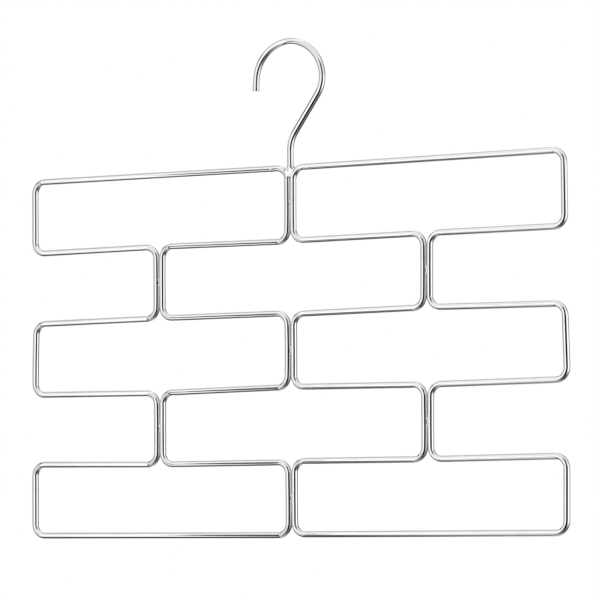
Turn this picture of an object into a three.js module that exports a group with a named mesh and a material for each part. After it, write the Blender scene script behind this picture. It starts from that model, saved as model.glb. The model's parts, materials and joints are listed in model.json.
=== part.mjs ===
// Legging hanger: a flat rack of chrome-plated round wire with an open hook on top.
// Two mirror-image loops of wire stand side by side. Each loop is wide and narrow by turns, so
// that the bars of both form a brick pattern. Where two uprights lie against each other they
// are tack welded, and the hook's stem is welded into the notch between the two loops.
// Units are millimetres: X runs along the bars, Y from front to back, and Z up.
// The origin is the inside top of the hook, where a rail carries the hanger.

import * as THREE from 'three';

// Driving dimensions of the rack
const wireDiameter = 4;
const loopWidth = 187; // from the hanger's centre line to the middle of an outer upright
const waistDistance = 94.5; // from the centre line to the middle of the pair at a waist
const rowPitch = 45; // between the middles of neighbouring bars
const wideRows = 3; // rows in which a loop is wide, with a waist between each two
const barBendRadius = 7.2; // to the middle of the wire, as are all bends
const pairGap = 0.3; // between two uprights that lie side by side

// Driving dimensions of the hook
const stemLength = 11.5; // straight part above the weld
const stemBendRadius = 20;
const stemSlant = THREE.MathUtils.degToRad(36); // of the shank, away from upright
const shoulderBendRadius = 18;
const hookBendRadius = 23.3;
const tipLength = 6; // straight end of the hook

// Driving dimensions of the welds
const weldClearance = 0.05; // between weld metal and the wires that it joins
const tackLength = 6;
const tackThickness = 2.8; // from front to back
const hookWeldThickness = 3; // from front to back
const jointOffset = 3.3; // from a loop's top inner bend to the weld that closes the loop
const jointLength = 1.2;
const jointBulge = 0.08; // of the closing weld past the wire's surface

// Fineness of round surfaces
const wireSides = 12;
const weldArcSteps = 6;
const chordTolerance = 0.1;

// Sizes that follow from these
const UP = Math.PI / 2;
const QUARTER_TURN = Math.PI / 2;
const wireRadius = wireDiameter / 2;
const rowCount = 2 * wideRows - 1;
const pairOffset = (wireDiameter + pairGap) / 2; // from a pair's middle to each of its uprights
const topBendCentre = new THREE.Vector2(pairOffset + barBendRadius, -barBendRadius);
const jointDistance = topBendCentre.x + jointOffset;
const stemFoot = heightOnTopBends(wireRadius);

// The middle line of a bent wire in the XZ plane, laid out as on a bending machine: straight
// lengths and bends, one after another. A positive angle turns left.
class BentWire {
  constructor(x, z, heading) {
    this.point = new THREE.Vector2(x, z);
    this.heading = heading;
    this.stations = [];
    this.addStation();
  }

  addStation() {
    this.stations.push({ point: this.point.clone(), heading: this.heading });
  }

  advance(length) {
    const step = new THREE.Vector2(Math.cos(this.heading), Math.sin(this.heading));
    this.point.addScaledVector(step, length);
  }

  straight(length) {
    this.advance(length);
    this.addStation();
    return this;
  }

  bend(radius, angle) {
    const widestStep = 2 * Math.acos(1 - chordTolerance / radius);
    const steps = Math.ceil(Math.abs(angle) / widestStep);
    const halfStep = angle / steps / 2;
    const chord = 2 * radius * Math.sin(Math.abs(halfStep));
    for (let step = 0; step < steps; step++) {
      this.heading += halfStep;
      this.advance(chord);
      this.heading += halfStep;
      this.addStation();
    }
    return this;
  }
}

// Height above the top bars at which a point this far from the centre line clears the two bends
// of the notch by the weld clearance.
function heightOnTopBends(distance) {
  const reach = barBendRadius + wireRadius + weldClearance;
  return topBendCentre.y + Math.sqrt(reach ** 2 - (topBendCentre.x - distance) ** 2);
}

// One ring of points around the wire for each station of its middle line.
function ringPoints(stations) {
  const points = [];
  for (const { point, heading } of stations) {
    for (let side = 0; side < wireSides; side++) {
      const angle = (2 * Math.PI * side) / wireSides;
      const across = wireRadius * Math.cos(angle);
      const x = point.x + across * Math.sin(heading);
      const y = wireRadius * Math.sin(angle);
      const z = point.y - across * Math.cos(heading);
      points.push(x, y, z);
    }
  }
  return points;
}

// Two triangles between each side of a ring and the next ring.
function wallTriangles(ringCount) {
  const triangles = [];
  for (let ring = 0; ring + 1 < ringCount; ring++) {
    for (let side = 0; side < wireSides; side++) {
      const here = ring * wireSides + side;
      const beside = ring * wireSides + ((side + 1) % wireSides);
      triangles.push(here, beside, beside + wireSides);
      triangles.push(here, beside + wireSides, here + wireSides);
    }
  }
  return triangles;
}

// Flat cut ends on the first and the last ring.
function endTriangles(ringCount) {
  const triangles = [];
  const last = (ringCount - 1) * wireSides;
  for (let side = 1; side + 1 < wireSides; side++) {
    triangles.push(0, side + 1, side);
    triangles.push(last, last + side, last + side + 1);
  }
  return triangles;
}

function wireGeometry(wire) {
  const ringCount = wire.stations.length;
  const positions = new THREE.Float32BufferAttribute(ringPoints(wire.stations), 3);
  const geometry = new THREE.BufferGeometry();
  geometry.setAttribute('position', positions);
  geometry.setIndex([...wallTriangles(ringCount), ...endTriangles(ringCount)]);
  geometry.computeVertexNormals();
  return geometry;
}

// Sharp corners of one loop, down its outer side and up its inner side.
// The side is -1 for the left loop and 1 for the right one.
function loopCorners(side) {
  const down = [];
  const up = [];
  for (let row = 0; row < rowCount; row++) {
    const isWide = row % 2 === 0;
    const outer = isWide ? loopWidth : waistDistance + pairOffset;
    const inner = isWide ? pairOffset : waistDistance - pairOffset;
    for (const bar of [row, row + 1]) {
      down.push(new THREE.Vector2(side * outer, -bar * rowPitch));
      up.unshift(new THREE.Vector2(side * inner, -bar * rowPitch));
    }
  }
  return [...down, ...up];
}

// The loop starts and ends at the weld that closes it, on the top bar beside the hook.
function loopWire(side) {
  const endGap = jointLength / 2 + weldClearance;
  const start = new THREE.Vector2(side * (jointDistance + endGap), 0);
  const end = new THREE.Vector2(side * (jointDistance - endGap), 0);
  const wire = new BentWire(start.x, start.y, side > 0 ? 0 : Math.PI);
  const route = [start, ...loopCorners(side), end];
  for (let i = 1; i + 1 < route.length; i++) {
    const before = route[i].clone().sub(route[i - 1]);
    const after = route[i + 1].clone().sub(route[i]);
    wire.straight(wire.point.distanceTo(route[i]) - barBendRadius);
    wire.bend(barBendRadius, QUARTER_TURN * Math.sign(before.cross(after)));
  }
  return wire.straight(wire.point.distanceTo(end));
}

// The stem rises from the weld, leans to the right and straightens again at the shoulder, so
// that the round of the hook is centred over the stem. Its crown is the end of the first part.
function hookShank() {
  const sideStep = (stemBendRadius + shoulderBendRadius) * (1 - Math.cos(stemSlant));
  const slantLength = (hookBendRadius - sideStep) / Math.sin(stemSlant);
  return new BentWire(0, stemFoot, UP)
    .straight(stemLength)
    .bend(stemBendRadius, -stemSlant)
    .straight(slantLength)
    .bend(shoulderBendRadius, stemSlant)
    .bend(hookBendRadius, QUARTER_TURN);
}

function hookWire() {
  return hookShank().bend(hookBendRadius, QUARTER_TURN).straight(tipLength);
}

// A spot weld pressed out into both grooves of a pair: two fillets joined through the gap.
function tackGeometry() {
  const surface = wireRadius + weldClearance;
  const reach = Math.asin(tackThickness / 2 / surface);
  const section = new THREE.Shape();
  section.absarc(-pairOffset, 0, surface, -reach, reach, false);
  section.absarc(pairOffset, 0, surface, Math.PI - reach, Math.PI + reach, false);
  const geometry = new THREE.ExtrudeGeometry(section, {
    depth: tackLength,
    curveSegments: weldArcSteps,
    bevelEnabled: false,
  });
  return geometry.translate(0, 0, -tackLength / 2);
}

// Weld metal that fills the notch between the two top bends, from the stem's foot down to where
// the uprights meet.
function hookWeldGeometry() {
  const surface = barBendRadius + wireRadius + weldClearance;
  const top = stemFoot - weldClearance;
  const rise = Math.asin((top - topBendCentre.y) / surface);
  const outline = new THREE.Shape();
  outline.absarc(-topBendCentre.x, topBendCentre.y, surface, rise, 0, true);
  outline.absarc(topBendCentre.x, topBendCentre.y, surface, Math.PI, Math.PI - rise, true);
  const geometry = new THREE.ExtrudeGeometry(outline, {
    depth: hookWeldThickness,
    curveSegments: weldArcSteps,
    bevelEnabled: false,
  });
  return geometry.translate(0, 0, -hookWeldThickness / 2).rotateX(QUARTER_TURN);
}

// The closing weld of a loop: a short plug between the wire's two ends, slightly proud of them.
function jointGeometry() {
  const half = jointLength / 2;
  const profile = [
    new THREE.Vector2(0, -half),
    new THREE.Vector2(wireRadius, -half),
    new THREE.Vector2(wireRadius + jointBulge, 0),
    new THREE.Vector2(wireRadius, half),
    new THREE.Vector2(0, half),
  ];
  return new THREE.LatheGeometry(profile, wireSides).rotateZ(QUARTER_TURN);
}

function chromeWire() {
  return new THREE.MeshStandardMaterial({ color: 0xdcdee0, roughness: 0.06, metalness: 1 });
}

function platedWeld() {
  return new THREE.MeshStandardMaterial({ color: 0xcfd1d3, roughness: 0.18, metalness: 1 });
}

function namedMesh(name, geometry, material) {
  const mesh = new THREE.Mesh(geometry, material);
  mesh.name = name;
  return mesh;
}

function placedWeld(name, geometry, x, z) {
  const weld = namedMesh(name, geometry, platedWeld());
  weld.position.set(x, 0, z);
  return weld;
}

// One tack at mid-height of every pair: at the centre in wide rows, at both waists in the rest.
function tackWelds() {
  const welds = new THREE.Group();
  for (let row = 0; row < rowCount; row++) {
    const middle = -(row + 0.5) * rowPitch;
    const number = row + 1;
    if (row % 2 === 0) {
      welds.add(placedWeld(`centre_weld_row_${number}`, tackGeometry(), 0, middle));
    } else {
      welds.add(placedWeld(`left_waist_weld_row_${number}`, tackGeometry(), -waistDistance, middle));
      welds.add(placedWeld(`right_waist_weld_row_${number}`, tackGeometry(), waistDistance, middle));
    }
  }
  return welds;
}

function rack() {
  const group = new THREE.Group();
  for (const [name, side] of [['left', -1], ['right', 1]]) {
    group.add(namedMesh(`${name}_loop`, wireGeometry(loopWire(side)), chromeWire()));
    group.add(placedWeld(`${name}_loop_joint`, jointGeometry(), side * jointDistance, 0));
  }
  group.add(tackWelds());
  return group;
}

// The assembly is laid out from the top bars, then lowered until the rail's seat is the origin.
function hanger() {
  const railSeat = hookShank().point.y - wireRadius;
  const assembly = new THREE.Group();
  assembly.position.z = -railSeat;
  assembly.add(rack());
  assembly.add(namedMesh('hook', wireGeometry(hookWire()), chromeWire()));
  assembly.add(namedMesh('hook_weld', hookWeldGeometry(), platedWeld()));
  const group = new THREE.Group();
  group.add(assembly);
  return group;
}

export default hanger();
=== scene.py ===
"""Looks of a legging hanger: a rack of bright chrome wire with plated welds, in a white studio.

Metres, in the frame of the solids: X along the bars, Y from front to back, Z up, and the origin at
the inside top of the hook. Every wire is swept along its bent middle line and every weld is melted
around the wires that it joins.
"""

import json
import math
from typing import NamedTuple

import bmesh
import bpy
import numpy as np
from mathutils import Matrix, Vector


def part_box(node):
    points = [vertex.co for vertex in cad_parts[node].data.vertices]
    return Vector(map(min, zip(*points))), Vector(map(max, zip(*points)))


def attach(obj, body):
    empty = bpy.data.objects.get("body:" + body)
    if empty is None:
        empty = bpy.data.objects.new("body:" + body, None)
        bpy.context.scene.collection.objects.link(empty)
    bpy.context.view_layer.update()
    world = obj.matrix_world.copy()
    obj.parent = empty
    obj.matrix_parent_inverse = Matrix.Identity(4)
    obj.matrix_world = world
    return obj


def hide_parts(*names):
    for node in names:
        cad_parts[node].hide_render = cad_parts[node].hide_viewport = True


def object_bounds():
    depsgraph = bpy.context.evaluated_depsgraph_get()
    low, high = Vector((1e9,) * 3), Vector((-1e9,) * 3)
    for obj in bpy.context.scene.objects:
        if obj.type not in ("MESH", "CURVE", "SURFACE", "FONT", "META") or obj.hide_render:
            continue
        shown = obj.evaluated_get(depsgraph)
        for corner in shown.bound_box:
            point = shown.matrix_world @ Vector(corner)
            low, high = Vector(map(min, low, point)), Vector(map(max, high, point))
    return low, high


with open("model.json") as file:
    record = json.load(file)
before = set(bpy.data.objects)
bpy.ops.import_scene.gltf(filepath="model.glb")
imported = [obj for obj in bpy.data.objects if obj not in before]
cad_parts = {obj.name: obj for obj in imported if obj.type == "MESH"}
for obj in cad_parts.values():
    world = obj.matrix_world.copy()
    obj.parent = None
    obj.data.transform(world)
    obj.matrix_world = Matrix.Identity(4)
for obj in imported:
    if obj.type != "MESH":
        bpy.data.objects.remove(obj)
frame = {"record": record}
cad_low, cad_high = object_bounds()

MM = 0.001
BODY = "root"
SLOTS = {part["node"]: part["material_slot"] for part in frame["record"]["subparts"]}
SIDES = {"left": -1, "right": 1}

# Sizes of the rack, read from the solids where their boxes give them
loop_low, loop_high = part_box("right_loop")
joint_low, joint_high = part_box("right_loop_joint")
waist_low, waist_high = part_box("right_waist_weld_row_2")
tack_low, tack_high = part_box("centre_weld_row_1")
WIRE_RADIUS = (loop_high.y - loop_low.y) / 2
LOOP_WIDTH = loop_high.x - WIRE_RADIUS
PAIR_OFFSET = loop_low.x + WIRE_RADIUS
WAIST_DISTANCE = (waist_low.x + waist_high.x) / 2
TOP_BAR = loop_high.z - WIRE_RADIUS
BOTTOM_BAR = loop_low.z + WIRE_RADIUS
JOINT_PLACE = (joint_low.x + joint_high.x) / 2
JOINT_LENGTH = joint_high.x - joint_low.x
JOINT_RADIUS = (joint_high.y - joint_low.y) / 2
TACK_LENGTH = tack_high.z - tack_low.z
TACK_THICKNESS = tack_high.y - tack_low.y
ROW_COUNT = 5
ROW_PITCH = (TOP_BAR - BOTTOM_BAR) / ROW_COUNT
BAR_BEND = 7.2 * MM  # to the middle of the wire, as are all bends
UPRIGHT_BEND = 200 * MM  # at the middle of an upright that is not quite straight
SLIGHT_TURN = math.radians(20)  # the most that such an upright turns
LEAST_SETBACK = 0.01 * MM  # of a bend from its corner; with less, the wire runs straight on

# Sizes of the hook, read from the solids where its box gives them
hook_low, hook_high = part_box("hook")
HOOK_BEND = hook_high.x - WIRE_RADIUS
HOOK_CENTRE = hook_high.z - WIRE_RADIUS - HOOK_BEND
HOOK_FOOT = hook_low.z
STEM_BEND = 20 * MM
SHOULDER_BEND = 18 * MM
STEM_SLANT = math.radians(36)
TIP_LENGTH = 6 * MM
HOOK_WELD_DEPTH = 2.3 * MM  # of the weld's middle below the top bars
HOOK_WELD_HALF = (3.5 * MM, 1.95 * MM, 3.6 * MM)  # half its width, thickness and height
HOOK_WELD_TURN = math.radians(8)  # of its pressed front, to the right

# Hand-bent wire is never quite true. This is how far corners of the rack stand to the right of and
# above their places, in millimetres, by the place along the bar and the bar's number from the top.
# A number and a half is the middle of the upright below that bar.
CORNER_DRIFT = {
    "left": {
        1: (0.0, -0.4), 2: (0.7, -0.2), 2.5: (0.0, 0.0),
        3: (-0.2, 0.0), 4: (-0.3, 0.9), 5: (-0.2, 1.1),
    },
    "left waist": {
        1: (0.3, 0.0), 2: (0.3, 0.4), 3: (0.3, -1.1), 4: (0.3, -0.5),
    },
    "left centre": {
        0: (0.4, -0.5), 1: (0.3, -0.7), 2: (0.1, 0.3), 2.5: (0.3, 0.0),
        3: (0.1, 0.2), 4: (0.2, -0.7), 5: (0.4, 0.0),
    },
    "right centre": {
        0: (0.2, -0.5), 1: (0.2, -0.3), 2: (0.1, -0.3), 2.5: (0.3, 0.0),
        3: (0.1, 0.2), 4: (0.2, 0.0), 5: (0.3, 0.4),
    },
    "right waist": {
        1: (0.1, 0.2), 2: (-0.2, 0.6), 3: (0.0, -0.7), 4: (-0.1, -0.4),
    },
    "right": {
        0: (-0.3, 0.5), 1: (0.0, 0.4), 2: (-0.6, -0.3),
        3: (0.6, 0.0), 4: (-0.2, 0.0), 5: (-0.7, -0.1),
    },
}
HOOK_DRIFT = 0.6 * MM  # of the stem's foot, to the right
HOOK_LEAN = math.radians(0.8)  # of the whole hook, to the left
HOOK_SPLAY = math.radians(4)  # of the tip, outwards

# Small forms of the wire
CUT_EDGE = 0.35 * MM  # rounding of the hook's cut ends
BEND_FLATTENING = 0.12  # of a wire's section, times wire radius over bend radius


class Wave(NamedTuple):
    """A wave across the rack, in radians per metre along its bars and up."""

    height: float
    along_x: float
    along_z: float
    start: float


SWAY = (Wave(0.22 * MM, 17, 9, 0.6), Wave(0.05 * MM, 61, -23, 2.0))  # slow, and slight and quick

# Fineness of the meshes
WIRE_SIDES = 40
STRAIGHT_STEP = 3 * MM
BEND_STEP = math.radians(5)
END_RINGS = 5  # around the rounded edge of a cut end
WELD_FINENESS = 5
HOOK_WELD_FINENESS = 6
SKIN_HALVINGS = 40  # in the search for a weld's skin along each ray

# View of the camera, which stands to the right of the hanger and somewhat below its middle
CAMERA_PLACE = (1.23863, -2.13318, -0.31645)
CAMERA_TURN = math.radians(30.007)  # to the left
CAMERA_TILT = math.radians(3.694)  # upwards
CAMERA_ROLL = math.radians(0.294)
LENS_LENGTH = 242.68  # in millimetres
SENSOR_WIDTH = 36.0  # in millimetres

# The floor
FLOOR_DROP = 0.6  # below the hanger
FLOOR_REACH = 30.0  # to each side
FADE_START = 1.0  # distance at which the floor begins to fade
FADE_END = 6.0  # distance at which it is white


class Station(NamedTuple):
    """A place on a wire's middle line in the XZ plane. Bend is wire radius over bend radius."""

    x: float
    z: float
    heading: float
    travelled: float
    bend: float


class BentWire:
    """The middle line of a bent wire in the XZ plane, as straight lengths and bends in turn."""

    def __init__(self, x, z, heading):
        self.x = x
        self.z = z
        self.heading = heading
        self.travelled = 0.0
        self.stations = []
        self.add_station(0.0)

    def add_station(self, bend):
        self.stations.append(Station(self.x, self.z, self.heading, self.travelled, bend))

    def advance(self, length):
        self.x += length * math.cos(self.heading)
        self.z += length * math.sin(self.heading)
        self.travelled += length

    def straight(self, length):
        steps = max(1, math.ceil(length / STRAIGHT_STEP))
        for _ in range(steps):
            self.advance(length / steps)
            self.add_station(0.0)
        return self

    def bend(self, radius, angle):
        """A positive angle turns left."""
        steps = math.ceil(abs(angle) / BEND_STEP)
        half = angle / steps / 2
        chord = 2 * radius * math.sin(abs(half))
        for _ in range(steps):
            self.heading += half
            self.advance(chord)
            self.heading += half
            self.add_station(WIRE_RADIUS / radius)
        return self


def drift(bar, place):
    """How far a corner, or the middle of an upright, stands off its true place, in millimetres."""
    known = CORNER_DRIFT[place]
    if bar in known or bar == round(bar):
        return np.array(known.get(bar, (0.0, 0.0)))
    return (drift(bar - 0.5, place) + drift(bar + 0.5, place)) / 2


def drifted(x, bar, place):
    """A corner of the rack in the XZ plane, as far off its true place as it really stands."""
    right, above = drift(bar, place) * MM
    return x + right, TOP_BAR - bar * ROW_PITCH + above


def loop_corners(name):
    """Corners of one loop in the XZ plane, down its outer side and up its inner side, and the middles
    of its uprights, where the tack weld of a pair has drawn both together."""
    side = SIDES[name]
    down = []
    up = []
    for row in range(ROW_COUNT):
        is_wide = row % 2 == 0
        outer_place = name if is_wide else f"{name} waist"
        inner_place = f"{name} centre" if is_wide else f"{name} waist"
        for bar in (row, row + 0.5, row + 1):
            apart = PAIR_OFFSET if bar == round(bar) else WIRE_RADIUS
            outer = LOOP_WIDTH if is_wide else WAIST_DISTANCE + apart
            inner = apart if is_wide else WAIST_DISTANCE - apart
            down.append(drifted(side * outer, bar, outer_place))
            up.insert(0, drifted(side * inner, bar, inner_place))
    return down + up


def joint_place(name):
    """Where the two ends of a loop meet on its top bar, in the XZ plane."""
    corners = loop_corners(name)
    outer = np.array(corners[0])
    inner = np.array(corners[-1])
    share = (JOINT_PLACE - abs(inner[0])) / (abs(outer[0]) - abs(inner[0]))
    return tuple(inner + share * (outer - inner))


def loop_wire(name):
    """One closed loop, from the weld that closes it all the way round to that weld."""
    start = joint_place(name)
    route = [*loop_corners(name), start]
    wire = BentWire(*start, math.atan2(route[0][1] - start[1], route[0][0] - start[0]))
    for corner, after in zip(route, route[1:]):
        leaving = math.atan2(after[1] - corner[1], after[0] - corner[0])
        turn = math.remainder(leaving - wire.heading, 2 * math.pi)
        radius = BAR_BEND if abs(turn) > SLIGHT_TURN else UPRIGHT_BEND
        setback = radius * math.tan(abs(turn) / 2)
        wire.straight(math.dist((wire.x, wire.z), corner) - setback)
        if setback > LEAST_SETBACK:
            wire.bend(radius, turn)
    return wire.straight(math.dist((wire.x, wire.z), start))


def hook_wire():
    """The hook, from its foot in the weld up the stem, the slanted shank and the round to its tip."""
    side_step = (STEM_BEND + SHOULDER_BEND) * (1 - math.cos(STEM_SLANT))
    slant = (HOOK_BEND - side_step) / math.sin(STEM_SLANT)
    rise = (STEM_BEND + SHOULDER_BEND) * math.sin(STEM_SLANT) + slant * math.cos(STEM_SLANT)
    wire = BentWire(HOOK_DRIFT, HOOK_FOOT, math.pi / 2 + HOOK_LEAN)
    wire.straight(HOOK_CENTRE - HOOK_FOOT - rise)
    wire.bend(STEM_BEND, -STEM_SLANT)
    wire.straight(slant)
    wire.bend(SHOULDER_BEND, STEM_SLANT)
    wire.bend(HOOK_BEND, math.pi - HOOK_SPLAY)
    return wire.straight(TIP_LENGTH + HOOK_BEND * HOOK_SPLAY)


def sway(x, z):
    """How far the rack bows out of its plane."""
    return sum(wave.height * np.sin(wave.along_x * x + wave.along_z * z + wave.start) for wave in SWAY)


def bowed(points):
    """The points moved front or back by the rack's sway."""
    moved = np.array(points)
    moved[:, 1] += sway(moved[:, 0], moved[:, 2])
    return moved


def eased_bends(stations):
    """The stations with the start and end of each bend's flattening spread over a few steps."""
    weights = np.array([1, 2, 3, 2, 1])
    bends = np.pad([station.bend for station in stations], len(weights) // 2, mode="edge")
    eased = np.convolve(bends, weights / weights.sum(), mode="valid")
    return [station._replace(bend=bend) for station, bend in zip(stations, eased)]


def rounded_end(station, outward):
    """Stations and scales that round off a cut end, from the wall to the flat of the cut."""
    for angle in np.linspace(0, math.pi / 2, END_RINGS):
        shift = outward * CUT_EDGE * (math.sin(angle) - 1)
        inset = CUT_EDGE * (1 - math.cos(angle)) / WIRE_RADIUS
        moved = station._replace(
            x=station.x + shift * math.cos(station.heading),
            z=station.z + shift * math.sin(station.heading),
            travelled=station.travelled + shift,
        )
        yield moved, 1 - inset


def with_cut_ends(stations):
    """Stations and scales of an open wire, whose ends are cut square with a slightly rounded edge."""
    foot = [*rounded_end(stations[0], -1)][::-1]
    between = [(station, 1.0) for station in stations[1:-1]]
    tip = [*rounded_end(stations[-1], 1)]
    return [*foot, *between, *tip]


def ring(station, scale):
    """Points around the wire at one station, slightly flattened where the wire is bent."""
    flattening = BEND_FLATTENING * station.bend
    angles = np.arange(WIRE_SIDES) * 2 * math.pi / WIRE_SIDES
    across = WIRE_RADIUS * scale * (1 - flattening) * np.cos(angles)
    depth = WIRE_RADIUS * scale * (1 + flattening / 2) * np.sin(angles)
    points = np.empty((WIRE_SIDES, 3))
    points[:, 0] = station.x + across * math.sin(station.heading)
    points[:, 1] = depth
    points[:, 2] = station.z - across * math.cos(station.heading)
    return points


def wall_faces(ring_count, closed):
    """Quads between each ring and the next, and round to the first ring if the wire is closed."""
    faces = []
    for here in range(ring_count if closed else ring_count - 1):
        there = (here + 1) % ring_count
        for side in range(WIRE_SIDES):
            beside = (side + 1) % WIRE_SIDES
            corners = (here, side), (here, beside), (there, beside), (there, side)
            faces.append([row * WIRE_SIDES + column for row, column in corners])
    return faces


def end_faces(ring_count):
    """The flats of both cut ends."""
    first = list(range(WIRE_SIDES))
    last = [(ring_count - 1) * WIRE_SIDES + side for side in first]
    return [first[::-1], last]


def unroll(mesh, distances):
    """A UV map of the unrolled wall, in metres: across is round the wire and up is along it."""
    layer = mesh.uv_layers.new(name="unrolled")
    girth = 2 * math.pi * WIRE_RADIUS
    quad = ((0, 0), (1, 0), (1, 1), (0, 1))  # sides across and rings up to each of its corners
    corner = 0
    for here in range(len(distances) - 1):
        for side in range(WIRE_SIDES):
            for across, up in quad:
                layer.uv[corner].vector = (girth * (side + across) / WIRE_SIDES, distances[here + up])
                corner += 1


def wire_mesh(name, wire, closed):
    """The swept skin of a wire. The last station of a closed wire lies on its first one."""
    stations = eased_bends(wire.stations)
    rings = [(station, 1.0) for station in stations] if closed else with_cut_ends(stations)
    distances = [station.travelled for station, _ in rings]
    if closed:
        rings.pop()
    points = np.concatenate([ring(station, scale) for station, scale in rings])
    faces = wall_faces(len(rings), closed)
    if not closed:
        faces += end_faces(len(rings))
    mesh = bpy.data.meshes.new(name)
    mesh.from_pydata(bowed(points), [], faces)
    unroll(mesh, distances)
    return mesh


def smooth_union(distances, blend):
    """Distance to several bodies melted into each other where they come closer than blend."""
    total = distances[0]
    for distance in distances[1:]:
        overlap = np.maximum(blend - np.abs(total - distance), 0) / blend
        total = np.minimum(total, distance) - overlap**2 * blend / 4
    return total


def ellipsoid(x, y, z, half):
    """Rough distance to an ellipsoid about the origin, from half its three sizes."""
    spread = np.sqrt((x / half[0]) ** 2 + (y / half[1]) ** 2 + (z / half[2]) ** 2)
    return (spread - 1) * min(half)


def rounded_plate(front, edge, corner):
    """Distance to a plate from those to its faces and to its outline, with rounded corners."""
    outside = np.hypot(np.maximum(front + corner, 0), np.maximum(edge + corner, 0))
    inside = np.minimum(np.maximum(front, edge) + corner, 0)
    return outside + inside - corner


def ripple(points, size, seed):
    """A smooth bumpy field from -1 to 1 with bumps of about the given size. Its waves run in odd
    directions, so that no pattern shows."""
    x, y, z = (points / size).T
    first = np.sin(2.1 * x + 1.3 * y + seed) * np.sin(1.7 * z - 0.8 * x + 2 * seed)
    second = np.sin(3.3 * z + 1.9 * y - seed) * np.sin(2.9 * x + 0.7 * z + 3 * seed)
    return (first + second) / 2


def melted_mesh(name, centre, field, reach, fineness):
    """The closed skin where field is zero, found along rays from a centre inside the metal."""
    shell = bmesh.new()
    bmesh.ops.create_icosphere(shell, subdivisions=fineness, radius=1.0)
    rays = np.array([vertex.co[:] for vertex in shell.verts])
    rays /= np.linalg.norm(rays, axis=1)[:, None]
    near = np.zeros(len(rays))
    far = np.full(len(rays), reach)
    for _ in range(SKIN_HALVINGS):
        middle = (near + far) / 2
        inside = field(centre + rays * middle[:, None]) < 0
        near = np.where(inside, middle, near)
        far = np.where(inside, far, middle)
    for vertex, point in zip(shell.verts, bowed(centre + rays * near[:, None])):
        vertex.co = point
    mesh = bpy.data.meshes.new(name)
    shell.to_mesh(mesh)
    shell.free()
    return mesh


def tack_field(middle_x, middle_z, seed):
    """Weld metal in the grooves of a pair of uprights, thinning out towards both ends."""
    sunk = 0.03 * MM  # into the wires, where the weld adds nothing to them
    fillet = 1.1 * MM
    rough = 0.05 * MM
    bumps = 0.7 * MM
    half = (1.5 * MM, TACK_THICKNESS / 2, TACK_LENGTH / 2)

    def field(points):
        x = points[:, 0] - middle_x
        y = points[:, 1]
        z = points[:, 2] - middle_z
        uprights = [np.hypot(x - place, y) - WIRE_RADIUS for place in (-WIRE_RADIUS, WIRE_RADIUS)]
        skin = smooth_union(uprights, fillet) + sunk + rough * ripple(points, bumps, seed)
        return np.maximum(skin, ellipsoid(x, y, z, half))

    return field


def joint_field(place):
    """The faint swelling where the two ends of a loop's wire were butt welded."""
    sunk = 0.02 * MM
    reach = JOINT_LENGTH  # to each side of the joint
    bulge = JOINT_RADIUS - WIRE_RADIUS
    place_x, place_z = place

    def field(points):
        x, y, z = points.T
        aside = np.abs(x - place_x)
        from_axis = np.hypot(y, z - place_z)
        swelling = bulge * np.exp(-((aside / (JOINT_LENGTH / 2)) ** 2))
        return np.maximum(from_axis - WIRE_RADIUS + sunk - swelling, aside - reach)

    return field


def notch_corners():
    """Sharp corners of the two top bends at the stem's foot, by their side."""
    return {side: drifted(side * PAIR_OFFSET, 0, f"{name} centre") for name, side in SIDES.items()}


def outside_bend(x, z, corner, side):
    """How far a point stands outside the middle line of a top bend and of the upright below it."""
    corner_x, corner_z = corner
    bend_z = corner_z - BAR_BEND
    from_bend = np.hypot(x - corner_x - side * BAR_BEND, z - bend_z) - BAR_BEND
    return np.where(z > bend_z, from_bend, side * (corner_x - x))


def stem_distance(x, y, z):
    """Distance to the skin of the hook's stem, whose foot counts as round."""
    below = np.maximum(HOOK_FOOT - z, 0)
    return np.sqrt((x - HOOK_DRIFT) ** 2 + y**2 + below**2) - WIRE_RADIUS


def hook_weld_field(points):
    """Weld metal that fills the notch between the two top bends up to their crests and holds the stem's
    foot. Its front is pressed flat and turned slightly to the right, and its fillets thin out towards
    the border."""
    sunk = 0.06 * MM
    rough = 0.02 * MM
    bumps = 1.6 * MM
    seed = 0.4
    fillet = 1.0 * MM
    thinnest = 0.01  # of the fillet at the border, as a share
    corner = 1.3 * MM
    overlap = 0.8 * MM  # past the middle line of each bend
    border = 1.2  # times the outline
    half_width, half_thickness, half_height = HOOK_WELD_HALF
    x, y, z = points.T
    corners = notch_corners()
    middle_x, top = np.mean([*corners.values()], axis=0)
    beside = x - middle_x
    spread = np.hypot(beside / half_width, (z - top + HOOK_WELD_DEPTH) / half_height)
    outside = [outside_bend(x, z, place, side) for side, place in corners.items()]
    inside = -np.minimum(*outside)
    front = np.abs(y * math.cos(HOOK_WELD_TURN) - beside * math.sin(HOOK_WELD_TURN)) - half_thickness
    plate = rounded_plate(front, np.maximum((spread - 1) * half_width, inside), corner)
    bends = [np.hypot(distance, y) - WIRE_RADIUS for distance in outside]
    blend = fillet * np.clip((border - spread) / (border - 1), thinnest, 1)
    melted = smooth_union([stem_distance(x, y, z), *bends, plate], blend)
    skin = melted + sunk + rough * ripple(points, bumps, seed)
    return np.maximum(skin, np.maximum((spread - border) * half_width, inside - overlap))


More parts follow.
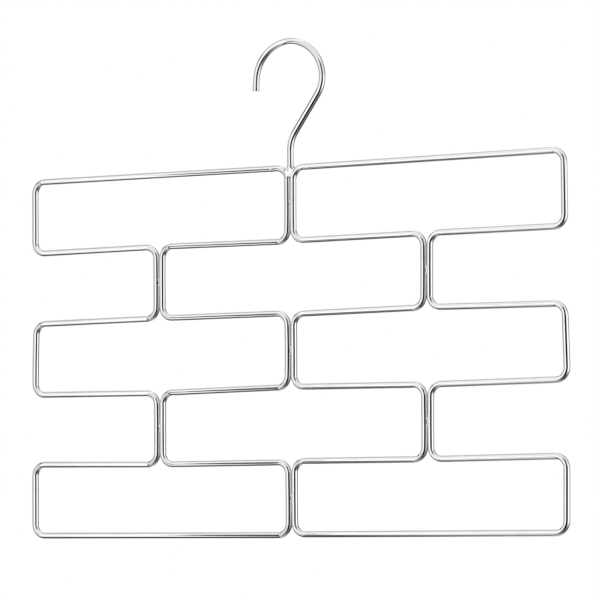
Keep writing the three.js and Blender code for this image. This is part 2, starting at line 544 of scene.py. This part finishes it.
class NodeMaker:
    """Short ways to add nodes to a shader tree and join them."""

    MIXED_COLOURS = (6, 7)  # sockets of a mix node that take its two colours
    COLOUR_RESULT = 2  # and the one that gives their mix

    def __init__(self, tree):
        self.tree = tree
        self.tree.nodes.clear()

    def add(self, kind, inputs=None, **settings):
        node = self.tree.nodes.new(kind)
        for key, value in settings.items():
            setattr(node, key, value)
        for key, value in (inputs or {}).items():
            self.set(node.inputs[key], value)
        return node

    def set(self, socket, value):
        if isinstance(value, bpy.types.NodeSocket):
            self.tree.links.new(value, socket)
        else:
            socket.default_value = value

    def math(self, operation, *values):
        node = self.add("ShaderNodeMath", operation=operation)
        for socket, value in zip(node.inputs, values):
            self.set(socket, value)
        return node.outputs[0]

    def ramp(self, value, low, high, start=0.0, end=1.0):
        """A smooth step from start to end as value goes from low to high."""
        inputs = {"Value": value, "From Min": low, "From Max": high, "To Min": start, "To Max": end}
        return self.add("ShaderNodeMapRange", inputs, interpolation_type="SMOOTHSTEP").outputs[0]

    def noise(self, place, scale, detail):
        inputs = {"Vector": place, "Scale": scale, "Detail": detail}
        return self.add("ShaderNodeTexNoise", inputs).outputs[0]

    def blend(self, factor, first, second):
        """A colour between two others."""
        node = self.add("ShaderNodeMix", {"Factor": factor}, data_type="RGBA")
        for socket, colour in zip(self.MIXED_COLOURS, (first, second)):
            node.inputs[socket].default_value = (*colour, 1.0)
        return node.outputs[self.COLOUR_RESULT]


def new_material(name):
    """An empty material and a maker for its nodes."""
    material = bpy.data.materials.new(name)
    material.use_nodes = True
    return material, NodeMaker(material.node_tree)


def chrome(make, colour, roughness, relief, depth):
    """Metal with a relief of the given depth, joined to the material's output."""
    bump = make.add("ShaderNodeBump", {"Height": relief, "Distance": depth, "Strength": 1.0})
    inputs = {
        "Base Color": colour,
        "Metallic": 1.0,
        "Roughness": roughness,
        "Normal": bump.outputs[0],
    }
    shader = make.add("ShaderNodeBsdfPrincipled", inputs)
    make.add("ShaderNodeOutputMaterial", {"Surface": shader.outputs[0]})


def wire_material():
    """Mirror-bright chrome with faint drawing lines along the wire, soft waves and dull patches."""
    bright = (0.85, 0.875, 0.88)
    dull = (0.80, 0.825, 0.83)
    line_scale = (9000.0, 120.0, 1.0)  # around the wire, along it, and unused
    line_height = 0.02  # times that of the waves
    streak_dullness = 0.5  # times that of the patches
    wave_depth = 0.006 * MM
    material, make = new_material("chrome_wire")
    unrolled = make.add("ShaderNodeUVMap", uv_map="unrolled").outputs[0]
    place = make.add("ShaderNodeTexCoord").outputs["Object"]
    stretched = make.add("ShaderNodeMapping", {"Vector": unrolled, "Scale": line_scale}).outputs[0]
    lines = make.noise(stretched, scale=1.0, detail=3.0)
    waves = make.noise(place, scale=160.0, detail=2.0)
    wear = make.ramp(make.noise(place, scale=90.0, detail=5.0), low=0.35, high=0.75)
    streaks = make.math("MULTIPLY", make.ramp(lines, low=0.4, high=0.8), streak_dullness)
    colour = make.blend(wear, bright, dull)
    dullness = make.math("MAXIMUM", wear, streaks)
    roughness = make.ramp(dullness, low=0.0, high=1.0, start=0.03, end=0.09)
    relief = make.math("ADD", make.math("MULTIPLY", lines, line_height), waves)
    chrome(make, colour, roughness, relief, wave_depth)
    return material


def weld_material():
    """The same plate over weld metal: ripples, pits and a duller sheen."""
    bright = (0.84, 0.865, 0.87)
    dull = (0.76, 0.785, 0.79)
    pit_depth = 0.3  # times that of the ripples
    ripple_depth = 0.012 * MM
    material, make = new_material("plated_weld")
    place = make.add("ShaderNodeTexCoord").outputs["Object"]
    ripples = make.noise(place, scale=500.0, detail=2.0)
    pits = make.ramp(make.noise(place, scale=2000.0, detail=1.0), low=0.22, high=0.32)
    wear = make.ramp(make.noise(place, scale=400.0, detail=4.0), low=0.35, high=0.75)
    colour = make.blend(wear, bright, dull)
    roughness = make.ramp(wear, low=0.0, high=1.0, start=0.05, end=0.16)
    relief = make.math("ADD", ripples, make.math("MULTIPLY", pits, pit_depth))
    chrome(make, colour, roughness, relief, ripple_depth)
    return material


def new_piece(name, mesh, node, materials):
    """Links a finished mesh as a smooth piece of the object that stands for its solid."""
    slot = SLOTS[node]
    mesh.materials.append(materials[slot])
    mesh.polygons.foreach_set("use_smooth", [True] * len(mesh.polygons))
    piece = bpy.data.objects.new(name, mesh)
    bpy.context.scene.collection.objects.link(piece)
    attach(piece, BODY)
    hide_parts(node)


def make_wires(materials):
    """The two loops and the hook."""
    for name in SIDES:
        mesh = wire_mesh(f"{name}_loop_wire", loop_wire(name), closed=True)
        new_piece(f"{name}_loop_wire", mesh, f"{name}_loop", materials)
    mesh = wire_mesh("hook_wire", hook_wire(), closed=False)
    new_piece("hook_wire", mesh, "hook", materials)


def make_weld(node, heart, field, reach, fineness, materials):
    """One bead of weld metal, no further than reach from its heart, which is given in the XZ plane."""
    x, z = heart
    name = f"{node}_bead"
    mesh = melted_mesh(name, np.array((x, 0.0, z)), field, reach, fineness)
    new_piece(name, mesh, node, materials)


def make_hook_weld(materials):
    """The weld that holds the hook's foot in the notch between the loops."""
    reach = 9 * MM
    heart = (HOOK_DRIFT, TOP_BAR - HOOK_WELD_DEPTH)
    make_weld("hook_weld", heart, hook_weld_field, reach, HOOK_WELD_FINENESS, materials)


def make_joints(materials):
    """The butt weld that closes each loop."""
    reach = 4 * MM
    for name in SIDES:
        place = joint_place(name)
        make_weld(f"{name}_loop_joint", place, joint_field(place), reach, WELD_FINENESS, materials)


def tack_places(row):
    """Middle of each pair of uprights in a row, in the XZ plane, by the node of its tack weld."""
    number = row + 1
    if row % 2 == 0:
        pairs = {f"centre_weld_row_{number}": (0.0, [f"{name} centre" for name in SIDES])}
    else:
        pairs = {
            f"{name}_waist_weld_row_{number}": (side * WAIST_DISTANCE, [f"{name} waist"])
            for name, side in SIDES.items()
        }
    for node, (x, places) in pairs.items():
        yield node, np.mean([drifted(x, row + 0.5, place) for place in places], axis=0)


def make_tacks(materials):
    """The tack welds at mid-height of the pairs, each with its own ripples."""
    shift = 10  # of the ripples, per metre along the bars
    for row in range(ROW_COUNT):
        for node, (x, z) in tack_places(row):
            field = tack_field(x, z, seed=row + shift * x)
            make_weld(node, (x, z), field, TACK_LENGTH, WELD_FINENESS, materials)


class Zone(NamedTuple):
    """A darker part of the light tent. Azimuth goes from straight in front of the rack to the right,
    and a zone that reaches past the seam at the back ends there. Each border is blurred, and all
    angles are in degrees. Shade is the share of the light that is missing."""

    azimuths: tuple
    elevations: tuple
    side_blur: float
    edge_blur: float
    shade: float


TENT_RADIUS = 1.2
TENT_FINENESS = 5
TENT_LIGHT = 1.405
TENT_TINT = (1.0, 0.96, 0.935, 1.0)
SEAM = -150.0  # the least azimuth
FULL_TURN = 360.0
ZONES = {
    "opening for the camera": Zone((8, 68), (-40, 10), 11, 8, 0.99),
    "cloth around the opening": Zone((8, 57), (-37, 40), 10, 8, 0.96),
    "slit between two front panels": Zone((-36, -30), (-40, 13), 2.5, 6, 0.98),
    "foot of the slit": Zone((-42, -30), (-51, -36), 7, 7, 0.95),
    "table in front": Zone((-26, 17), (-77, -8), 20, 13, 0.48),
    "gap at the table's left edge": Zone((-200, -53), (-70, -39), 11, 13, 0.90),
    "left wall": Zone((-127, -45), (-54, 26), 24, 29, 0.56),
    "window in the left wall": Zone((-136, -90), (-28, 27), 11, 10, 0.83),
    "shelf under the window": Zone((-121, -84), (-44, -22), 10, 8, 0.85),
    "beam over the window": Zone((-114, -55), (26, 34), 10, 5, 0.87),
    "left part of the roof": Zone((-200, -55), (24, 74), 25, 18, 0.58),
    "right part of the roof": Zone((-41, 250), (13, 95), 36, 20, 0.33),
    "right wall": Zone((118, 205), (-46, 41), 20, 20, 0.55),
    "window behind the right wall": Zone((135, 203), (-36, 8), 10, 9, 0.90),
    "corner behind the right wall": Zone((138, 194), (16, 48), 12, 12, 0.80),
    "right part of the floor": Zone((0, 158), (-71, -24), 24, 36, 0.85),
    "floor below": Zone((-250, 250), (-95, -47), 1, 10, 0.66),
}


def within(make, value, limits, blur):
    """One between the limits and zero outside them, blurred across each limit."""
    low, high = limits
    rise = make.ramp(value, low - blur / 2, low + blur / 2)
    fall = make.ramp(value, high - blur / 2, high + blur / 2, start=1.0, end=0.0)
    return make.math("MULTIPLY", rise, fall)


def tent_angles(make):
    """Azimuth and elevation of a place on the tent, in degrees."""
    place = make.add("ShaderNodeTexCoord").outputs["Object"]
    axes = make.add("ShaderNodeSeparateXYZ", {"Vector": place}).outputs
    front = make.math("MULTIPLY", axes["Y"], -1.0)
    turned = make.math("DEGREES", make.math("ARCTAN2", axes["X"], front))
    azimuth = make.math("WRAP", turned, SEAM + FULL_TURN, SEAM)
    ground = make.add("ShaderNodeCombineXYZ", {"X": axes["X"], "Y": axes["Y"]}).outputs[0]
    level = make.add("ShaderNodeVectorMath", {0: ground}, operation="LENGTH").outputs["Value"]
    elevation = make.math("DEGREES", make.math("ARCTAN2", axes["Z"], level))
    return azimuth, elevation


def tent_material():
    """White glowing cloth with the darker zones."""
    material, make = new_material("tent_cloth")
    material.cycles.emission_sampling = "NONE"
    azimuth, elevation = tent_angles(make)
    light = TENT_LIGHT
    for zone in ZONES.values():
        across = within(make, azimuth, zone.azimuths, zone.side_blur)
        upward = within(make, elevation, zone.elevations, zone.edge_blur)
        missing = make.math("MULTIPLY", make.math("MULTIPLY", across, upward), zone.shade)
        light = make.math("MULTIPLY", make.math("SUBTRACT", 1.0, missing), light)
    glow = make.add("ShaderNodeEmission", {"Color": TENT_TINT, "Strength": light})
    make.add("ShaderNodeOutputMaterial", {"Surface": glow.outputs[0]})
    return material


def make_tent():
    """A round light tent about the rack, seen only as a reflection in the chrome."""
    shell = bmesh.new()
    bmesh.ops.create_icosphere(shell, subdivisions=TENT_FINENESS, radius=TENT_RADIUS)
    mesh = bpy.data.meshes.new("tent")
    shell.to_mesh(mesh)
    shell.free()
    mesh.materials.append(tent_material())
    tent = bpy.data.objects.new("tent", mesh)
    tent.location = (0.0, 0.0, (TOP_BAR + BOTTOM_BAR) / 2)
    bpy.context.scene.collection.objects.link(tent)
    tent.visible_camera = False
    tent.visible_diffuse = False
    tent.visible_shadow = False


def room_light():
    """Even white light from all round."""
    white = (1.0, 1.0, 1.0, 1.0)
    world = bpy.data.worlds.new("room")
    bpy.context.scene.world = world
    world.use_nodes = True
    make = NodeMaker(world.node_tree)
    background = make.add("ShaderNodeBackground", {"Color": white, "Strength": 1.0})
    make.add("ShaderNodeOutputWorld", {"Surface": background.outputs[0]})


def floor_material():
    """Pale paint that fades to white far away and can be seen through from below."""
    near_tone = (0.93, 0.93, 0.925)
    far_tone = (1.0, 1.0, 1.0)
    material, make = new_material("pale_floor")
    place = make.add("ShaderNodeTexCoord").outputs["Object"]
    away = make.add("ShaderNodeVectorMath", {0: place}, operation="LENGTH").outputs["Value"]
    tone = make.blend(make.ramp(away, FADE_START, FADE_END), near_tone, far_tone)
    paint = make.add("ShaderNodeBsdfDiffuse", {"Color": tone}).outputs[0]
    see_through = make.add("ShaderNodeBsdfTransparent").outputs[0]
    below = make.add("ShaderNodeNewGeometry").outputs["Backfacing"]
    mixed = make.add("ShaderNodeMixShader", {0: below, 1: paint, 2: see_through})
    make.add("ShaderNodeOutputMaterial", {"Surface": mixed.outputs[0]})
    return material


def make_floor():
    """A wide pale floor well below the hanger, which fades into the white of the room."""
    height = cad_low.z - FLOOR_DROP
    mesh = bpy.data.meshes.new("floor")
    signs = ((-1, -1), (1, -1), (1, 1), (-1, 1))
    corners = [(x * FLOOR_REACH, y * FLOOR_REACH, height) for x, y in signs]
    mesh.from_pydata(corners, [], [(0, 1, 2, 3)])
    mesh.materials.append(floor_material())
    floor = bpy.data.objects.new("floor", mesh)
    bpy.context.scene.collection.objects.link(floor)
    floor.visible_glossy = False


def make_camera():
    """A long lens that looks at the middle of the hanger."""
    data = bpy.data.cameras.new("camera")
    data.lens = LENS_LENGTH
    data.sensor_width = SENSOR_WIDTH
    camera = bpy.data.objects.new("camera", data)
    turn = Matrix.Rotation(CAMERA_TURN, 4, "Z")
    tilt = Matrix.Rotation(CAMERA_TILT, 4, "X")
    roll = Matrix.Rotation(CAMERA_ROLL, 4, "Y")
    upright = Matrix.Rotation(math.pi / 2, 4, "X")
    camera.matrix_world = Matrix.Translation(CAMERA_PLACE) @ turn @ tilt @ roll @ upright
    bpy.context.scene.collection.objects.link(camera)
    bpy.context.scene.camera = camera


plating = {"chrome_wire": wire_material(), "plated_weld": weld_material()}
make_camera()
make_wires(plating)
make_hook_weld(plating)
make_joints(plating)
make_tacks(plating)
make_floor()
make_tent()
room_light()
bpy.context.scene.view_settings.view_transform = "Standard"
